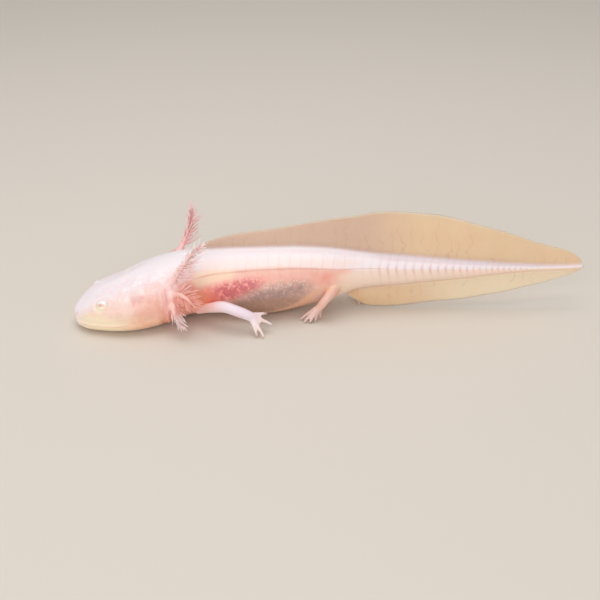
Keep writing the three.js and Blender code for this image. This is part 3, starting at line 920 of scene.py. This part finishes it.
def skin_material(marks):
    """Moist living skin over pale flesh: soft, slightly see-through, with a satin wet shine."""
    material, tree, shader = surface(
        "moist_axolotl_skin",
        IOR=1.4,
        Subsurface_Weight=0.3,
        Subsurface_Radius=(1.0, 0.5, 0.35),
        Subsurface_Scale=1.6 * MM,
        Coat_Weight=0.3,
        Coat_Roughness=0.26,
    )
    add = partial(add_node, tree)
    spot = add(PLACE, {}, "Object")
    broad, coarse, fine, patch = (
        add(NOISE, {"Vector": spot, "Scale": grain_scale(size_mm), **grain})
        for size_mm, grain in (
            (5, {"Detail": 3.0}),
            (1.0, {"Detail": 4.0, "Distortion": 0.4}),
            (0.45, {"Detail": 3.0, "Roughness": 0.6}),
            (2.2, {"Detail": 2.0, "Roughness": 0.45}),
        )
    )
    both = add(MATH, {0: coarse, 1: fine}, operation="ADD")
    mottle = add(RANGE, {"Value": both, "From Min": 0.7, "From Max": 1.3})
    mark = {name: add(MARK, {}, "Fac", attribute_name=name) for name in marks}

    coats = []  # what lies over the plain colour, from below: how much of it, and its colour
    for name, (_, _, _, tone, strength, ragged) in MARKINGS.items():
        wobble = {0: mottle, 1: 2 * ragged, 2: 1 - 1.3 * ragged}
        wobble = add(MATH, wobble, operation="MULTIPLY_ADD")
        broken = add(MATH, {0: mark[name], 1: wobble}, **TIMES)
        amount = add(RANGE, {"Value": broken, "To Max": strength}, **SMOOTH)
        coats.append((amount, tone))

    # Blood shows through the cheeks, and a painted wet sheen whitens the skull, in blotches about
    # 2 mm wide. Pale dots of reflecting pigment lie over the stomach, about half a millimetre
    # across.
    for name, grain, none, full, strength, tone in (
        ("blush", patch, 0.5, 0.68, 0.45, "#dc9c98"),
        ("painted_sheen_blotches", patch, 0.54, 0.36, 0.6, "#fffdfc"),
        ("pale_dots", fine, 0.47, 0.62, 0.75, "#efccc2"),
    ):
        spots = {"Value": grain, "From Min": none, "From Max": full, "To Max": strength}
        amount = add(MATH, {0: add(RANGE, spots, **SMOOTH), 1: mark[name]}, **TIMES)
        coats.append((amount, tone))

    # The tail's muscle shows through in bowed bands about 3 mm apart, and the rib grooves as faint
    # lines. They fade in places, as the lateral line does.
    turn = add(MATH, {0: mark["band_count"], 1: TAU}, **TIMES)
    wave = add(MATH, {0: turn}, operation="COSINE")
    fade = {"Value": broad, "From Min": 0.42, "From Max": 0.62, "To Min": 0.6}
    unbroken = add(RANGE, fade)
    for name, faintest, strength, tone in (
        ("tail_bands", 0.0, 0.5, "#cf9a98"),
        ("rib_grooves", 0.8, 0.14, "#d3a6a2"),
    ):
        stripe = add(RANGE, {"Value": wave, "From Min": faintest, "To Max": strength})
        amount = add(MATH, {0: stripe, 1: mark[name]}, **TIMES)
        amount = add(MATH, {0: amount, 1: unbroken}, **TIMES)
        coats.append((amount, tone))

    # The lateral line, the line of the lips, and fine veins before the gills, all drawn wide enough
    # to show.
    for window, gap, reach, tone, strength in (
        ("lateral_line", "line_gap", 2.6, "#cf8f7e", 0.55),
        ("mouth", "lip_gap", 0.35, "#c98f7e", 0.4),
    ):
        away = add(MATH, {0: mark[gap]}, operation="ABSOLUTE")
        line = {"Value": away, "From Max": reach, "To Min": strength, "To Max": 0.0}
        amount = add(MATH, {0: add(RANGE, line, **SMOOTH), 1: mark[window]}, **TIMES)
        amount = add(MATH, {0: amount, 1: unbroken}, **TIMES)
        coats.append((amount, tone))
    swirl = add(NOISE, {"Vector": spot, "Scale": grain_scale(1.92)}, "Color")
    bent = {0: swirl, 1: (3.2 * MM,) * 3, 2: spot}
    bent = add("ShaderNodeVectorMath", bent, operation="MULTIPLY_ADD")
    net = {"Vector": bent, "Scale": VEIN_NET}
    net = add("ShaderNodeTexVoronoi", net, feature="DISTANCE_TO_EDGE")
    thread = {"Value": net, "From Min": 0.02, "From Max": 0.13, "To Min": 0.16, "To Max": 0.0}
    amount = add(MATH, {0: add(RANGE, thread, **SMOOTH), 1: mark["veins"]}, **TIMES)
    coats.append((amount, "#e99aa0"))

    # Limbs go from the flank's flush at their roots to pale lilac, and to pink at the digits.
    hind = mark["hind"]
    limb_tone = add(MIX, {0: hind, 6: "#fbd2ca", 7: "#e9b7a2"}, **BLEND)
    for front_tone, hind_tone, start, end in (
        ("#eddde6", "#e9bfae", 0.2, 0.5),
        ("#f5dfda", "#e7c6bf", 0.72, 0.95),
    ):
        tone = add(MIX, {0: hind, 6: front_tone, 7: hind_tone}, **BLEND)
        reach = {"Value": mark["limb_share"], "From Min": start, "From Max": end}
        reached = add(RANGE, reach, **SMOOTH)
        limb_tone = add(MIX, {0: reached, 6: limb_tone, 7: tone}, **BLEND)
    coats.append((mark["limb"], limb_tone))

    for name, tone, strength in (
        ("gill", "#fcdcd7", 0.9),
        # painted shade: a darker rose on the stalks of the right gills
        ("gill_right", "#efb0ac", 0.6),
        ("gill_glow", "#f8b7a8", 0.7),
        ("eye_rim", "#f6cfc6", 0.3),
        ("under_eye", "#fdeed9", 0.8),
        ("nostril", "#b98880", 0.7),
    ):
        amount = add(MATH, {0: mark[name], 1: strength}, **TIMES)
        coats.append((amount, tone))

    # Fins: thin and tan, with fine branching vessels and a pale rim.
    wavy = {"Vector": bent, "Scale": VESSEL_BANDS, "Distortion": 6.0}
    wavy.update({"Detail": 3.0, "Detail Scale": 2.2})
    lines = add("ShaderNodeTexWave", wavy, "Fac", wave_type="BANDS", bands_direction="X")
    vessel = add(RANGE, {"Value": lines, "From Min": 0.94, "To Max": 0.34}, **SMOOTH)
    fed = add(RANGE, {"Value": broad, "From Min": 0.4, "From Max": 0.65}, **SMOOTH)
    rimward = {"Value": mark["fin_share"], "From Min": 0.1, "From Max": 0.9}
    rimward.update({"To Min": 1.0, "To Max": 0.15})
    patchy = add(MATH, {0: vessel, 1: fed}, **TIMES)
    patchy = add(MATH, {0: patchy, 1: add(RANGE, rimward)}, **TIMES)
    web = add(MIX, {0: broad, 6: "#e9c7ad", 7: "#dfb99f"}, **BLEND)
    rear_web = add(MIX, {0: broad, 6: "#fbddb4", 7: "#f3cc9f"}, **BLEND)
    for share, tone in (
        (mark["fin_rear"], rear_web),
        (mark["fin_low_rear"], "#ffe9c9"),
        (patchy, "#b98973"),
        (mark["fin_rim"], "#f0dcc4"),
    ):
        web = add(MIX, {0: share, 6: web, 7: tone}, **BLEND)
    fin = mark["fin"]
    coats.append((fin, web))

    colour = add(MIX, {0: broad, 6: "#f6eaf0", 7: "#f8ecec"}, **BLEND)
    for amount, tone in coats:
        colour = add(MIX, {0: amount, 6: colour, 7: tone}, **BLEND)
    shine = add(MATH, {0: broad, 1: 0.14, 2: 0.3}, operation="MULTIPLY_ADD")
    see = add(MATH, {0: fin, 1: -0.42, 2: 1.0}, operation="MULTIPLY_ADD")
    grain = add(MATH, {0: fine, 1: 0.6, 2: mottle}, operation="MULTIPLY_ADD")
    bump = add("ShaderNodeBump", {"Height": grain, "Strength": 0.22, "Distance": 0.1 * MM})
    outputs = {"Base Color": colour, "Roughness": shine, "Alpha": see, "Normal": bump}
    for socket, source in outputs.items():
        tree.links.new(source, shader.inputs[socket])
    return material


def filament_material():
    """Gill filaments: fine wet threads, rosy with blood at the root, with painted shade in a darker
    rose on the right gills.
    """
    material, tree, shader = surface(
        "wet_gill_filament",
        IOR=1.4,
        Roughness=0.4,
        Subsurface_Weight=0.15,
        Subsurface_Radius=(1.0, 0.5, 0.4),
        Subsurface_Scale=0.3 * MM,
    )
    add = partial(add_node, tree)
    spot = add(PLACE, {}, "Object")
    height = add("ShaderNodeSeparateXYZ", {0: spot}, 2)
    rosy = add(RANGE, {"Value": height, "From Min": 19 * MM, "From Max": 15.5 * MM}, **SMOOTH)
    low = add(RANGE, {"Value": height, "From Min": 7.5 * MM, "From Max": 10.5 * MM}, **SMOOTH)
    rosy = add(MATH, {0: rosy, 1: low}, **TIMES)
    patches = add(NOISE, {"Vector": spot, "Scale": grain_scale(1.5), "Detail": 3.0})
    share = add(MARK, {}, "Fac", attribute_name="tipward")
    paler = add(RANGE, {"Value": share, "From Min": 0.1, "From Max": 1.0}, **SMOOTH)
    colour = add(MIX, {0: patches, 6: "#ffdcd7", 7: "#ffe0e1"}, **BLEND)
    colour = add(MIX, {0: paler, 6: colour, 7: "#ffefec"}, **BLEND)
    colour = add(MIX, {0: rosy, 6: colour, 7: "#ffbfb0"}, **BLEND)
    # Painted shade: the filaments on the animal's right side are drawn a darker rose.
    sideways = add("ShaderNodeSeparateXYZ", {0: spot}, 1)
    far_side_shade = add(RANGE, {"Value": sideways, "From Max": 4 * MM, "To Max": 0.5})
    colour = add(MIX, {0: far_side_shade, 6: colour, 7: "#f6b4b0"}, **BLEND)
    tree.links.new(colour, shader.inputs["Base Color"])
    return material


def eye_material():
    """A lidless albino eye: a pearly iris whose upper half is partly a painted highlight, gold
    below, with a soft pink pupil, under a cornea.
    """
    material, tree, shader = surface(
        "wet_albino_eye", IOR=1.38, Roughness=0.25, Coat_Weight=0.8, Coat_Roughness=0.1
    )
    add = partial(add_node, tree)
    spot = add(PLACE, {}, "Object")
    flecks = {"Vector": spot, "Scale": grain_scale(0.3), "Detail": 4.0, "Roughness": 0.6}
    flecks = add(NOISE, flecks)
    level = add(MARK, {}, "Fac", attribute_name="level")
    pupil = add(MARK, {}, "Fac", attribute_name="pupil_far")
    rim = add(MARK, {}, "Fac", attribute_name="off_axis")
    colour = add(MIX, {0: flecks, 6: "#fdf0d6", 7: "#f6e0bb"}, **BLEND)
    for value, tone, none, full in (
        # the upper half near white: partly the pale iris, partly a painted highlight of the lamp
        # above
        (level, "#f9efec", -0.1, 0.35),
        (pupil, "#ecc8b8", 1.25, 0.75),
        (pupil, "#dbb1a2", 0.8, 0.2),
        (rim, "#f5ddd2", 0.55, 0.85),
    ):
        spread = {"Value": value, "From Min": none, "From Max": full}
        amount = add(RANGE, spread, **SMOOTH)
        colour = add(MIX, {0: amount, 6: colour, 7: tone}, **BLEND)
    tree.links.new(colour, shader.inputs["Base Color"])
    return material


# ---- gills and eyes

FILAMENT_PAIRS = 54
FIRST_PAIR, PAIRS_SPAN = 0.24, 0.75  # where along the gill they start, and how far they go on
LONGEST_FILAMENT = {"upper": 8.2, "middle": 6.8, "lower": 6.0}
FILAMENT_ROOT, FILAMENT_TAPER = 0.17, 0.09  # radius at the root, and how much of it is lost
WIDEST = 24.6 * MM  # no filament reaches further out than the hands
TRAIL = Vector((1, 0, -0.3))  # the side of the gill that the filaments grow on
SWEEP = (0.4, 1.1)  # how far a filament leans towards the gill's tip
FAN = (10, 115)  # degrees between a filament and the trailing side
LENGTHS = (0.6, 1.05)  # share of the longest
CURLS = (0.5, 1.4)
CURL_REACH = 0.35  # how far the curl carries a filament's tip


def gill_filaments(name, side, stops, chance):
    """Two rows of fine filaments that sweep back from a gill's stalk towards its tip."""
    line = bent_line(side, stops)
    longest = LONGEST_FILAMENT[name.split("_")[-1]]
    bm = bmesh.new()
    tipward = bm.verts.layers.float.new("tipward")
    for i in range(FILAMENT_PAIRS):
        share = FIRST_PAIR + PAIRS_SPAN * i / (FILAMENT_PAIRS - 1)
        point, ahead, thick = line(share)
        back = (TRAIL - ahead * TRAIL.dot(ahead)).normalized()
        across = ahead.cross(back)
        for row in (-1, 1):
            sweep = chance.uniform(*SWEEP)
            fan = row * math.radians(chance.uniform(*FAN))
            out = (back * math.cos(fan) + across * math.sin(fan) + ahead * sweep).normalized()
            length = longest * (1 - 0.45 * share) * chance.uniform(*LENGTHS) * MM
            length *= 0.6 + 0.4 * math.cos(fan / 2)
            curl = (ahead * 0.9 - back * 0.35) * chance.uniform(*CURLS)
            root = point + out * (thick * 0.4)
            tip = root + (out + curl * CURL_REACH) * length
            if abs(tip.y) > WIDEST:
                length *= (WIDEST - abs(root.y)) / (abs(tip.y) - abs(root.y))

            def locate(t, turn, root=root, out=out, length=length, curl=curl):
                point = root + out * (length * t) + curl * (length * t * t * CURL_REACH)
                forward = (out + curl * (2 * CURL_REACH * t)).normalized()
                side_way = forward.cross(Vector((0.3, 0.4, 0.86))).normalized()
                over = forward.cross(side_way)
                radius = (FILAMENT_ROOT - FILAMENT_TAPER * t) * MM
                radius *= math.sqrt(max(1 - (2 * t - 1) ** 8, 0))
                return point + (side_way * math.cos(turn) + over * math.sin(turn)) * radius

            before = len(bm.verts)
            tube(bm, 5, 7, locate)
            bm.verts.ensure_lookup_table()
            for corner in bm.verts[before:]:
                corner[tipward] = min((corner.co - root).length / length, 1)
    return made(f"{name}_filaments", bm)


PUPIL = (0.24, 0.5)  # half height and half width, as shares of the eye's radius


def eye(name, side):
    """An eyeball. Stores each point's level and how far it is off the axis and the wide pupil."""
    centre, axis = eye_axis(side, EYE_GAZE)
    centre = centre - EYE_SUNK[side] * eye_axis(side)[1]
    level_way = np.array([0, 0, 1.0]) - axis * axis[2]
    level_way /= np.linalg.norm(level_way)
    side_way = np.cross(axis, level_way)
    bm = bmesh.new()
    bmesh.ops.create_uvsphere(bm, u_segments=64, v_segments=40, radius=EYE["radius"])
    layers = [bm.verts.layers.float.new(n) for n in ("off_axis", "level", "pupil_far")]
    for corner in bm.verts:
        way = np.array(corner.co.normalized())
        facing, level, sideways = (float(way @ w) for w in (axis, level_way, side_way))
        off_axis = math.acos(max(-1, min(1, facing))) / (math.pi / 2) if facing > 0 else 1.0
        pupil_far = math.hypot(level / PUPIL[0], sideways / PUPIL[1]) if facing > 0 else 9.0
        for layer, value in zip(layers, (off_axis, level, pupil_far)):
            corner[layer] = value
        corner.co = Vector((way * EYE["radius"] + centre) * MM)
    return made(name, bm)


# ---- assembly

skin = body_skin()
for limb_name, (side, stops, tips) in LIMBS.items():
    joined(skin, limb(limb_name, side, stops, tips))
for gill_name, (side, stops) in GILLS.items():
    stalk = bmesh.new()
    rod(stalk, bent_line(side, stops), 16, 40, lambda share: 0.96 - 0.36 * share)
    joined(skin, made(gill_name + "_stalk", stalk))
softened(skin)
floor_points = mesh_points(skin.data)
floor_points[:, 2] = above_floor(floor_points[:, 2] / MM, soft=0.12) * MM
skin.data.vertices.foreach_set("co", floor_points.ravel())
mark_names = mark_skin(skin.data)
skin.data.materials.clear()
skin.data.materials.append(skin_material(mark_names))
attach(skin, BODY)
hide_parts(*[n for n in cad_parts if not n.startswith(("eye_", "gill_"))])

gill_surface = filament_material()
chance = random.Random(7)
for gill_name, (side, stops) in GILLS.items():
    plume = gill_filaments(gill_name, side, stops, chance)
    plume.data.materials.append(gill_surface)
    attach(plume, BODY)
    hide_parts(gill_name)

eye_surface = eye_material()
for node_name, side in (("eye_left", -1), ("eye_right", 1)):
    ball = eye(node_name + "_ball", side)
    ball.data.materials.append(eye_surface)
    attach(ball, BODY)
    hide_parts(node_name)

# ---- floor, light and camera

# A plain pale floor, matt enough to mirror nothing.
floor_surface, *_ = surface("matt_pale_floor", Base_Color=linear("#ddd4c8"), Roughness=0.9)
bm = bmesh.new()
bmesh.ops.create_grid(bm, x_segments=1, y_segments=1, size=3.0)
floor = made("floor", bm)
floor.data.materials.append(floor_surface)

world = bpy.data.worlds.new("soft_room")
bpy.context.scene.world = world
world.use_nodes = True
glow = world.node_tree.nodes["Background"].inputs
glow["Color"].default_value = linear("#f4f4f6")
glow["Strength"].default_value = 0.6


def lamp(name, place_at, aim, size, power):
    light = bpy.data.lights.new(name, "AREA")
    light.size = size
    light.energy = power
    holder = linked(name, light)
    holder.location = place_at
    holder.rotation_euler = (Vector(aim) - Vector(place_at)).to_track_quat("-Z", "Y").to_euler()


lamp("overhead", (-0.05, 0.0, 0.7), (0, 0, 0), 0.55, 1.92)
lamp("front_fill", (-0.2, -0.7, 0.3), (0, 0, 0.01), 0.6, 2.15)

ELEVATION = math.radians(28.5)
DISTANCE = 0.329
TARGET = Vector((-0.01146, -0.0009, 0.003))
camera = linked("camera", bpy.data.cameras.new("camera"))
camera.data.lens = 55
camera.data.sensor_width = 36
camera.data.clip_start = 0.01
camera.location = TARGET + DISTANCE * Vector((0, -math.cos(ELEVATION), math.sin(ELEVATION)))
camera.rotation_euler = (math.pi / 2 - ELEVATION, 0, 0)
bpy.context.scene.camera = camera
bpy.context.scene.view_settings.view_transform = "Standard"
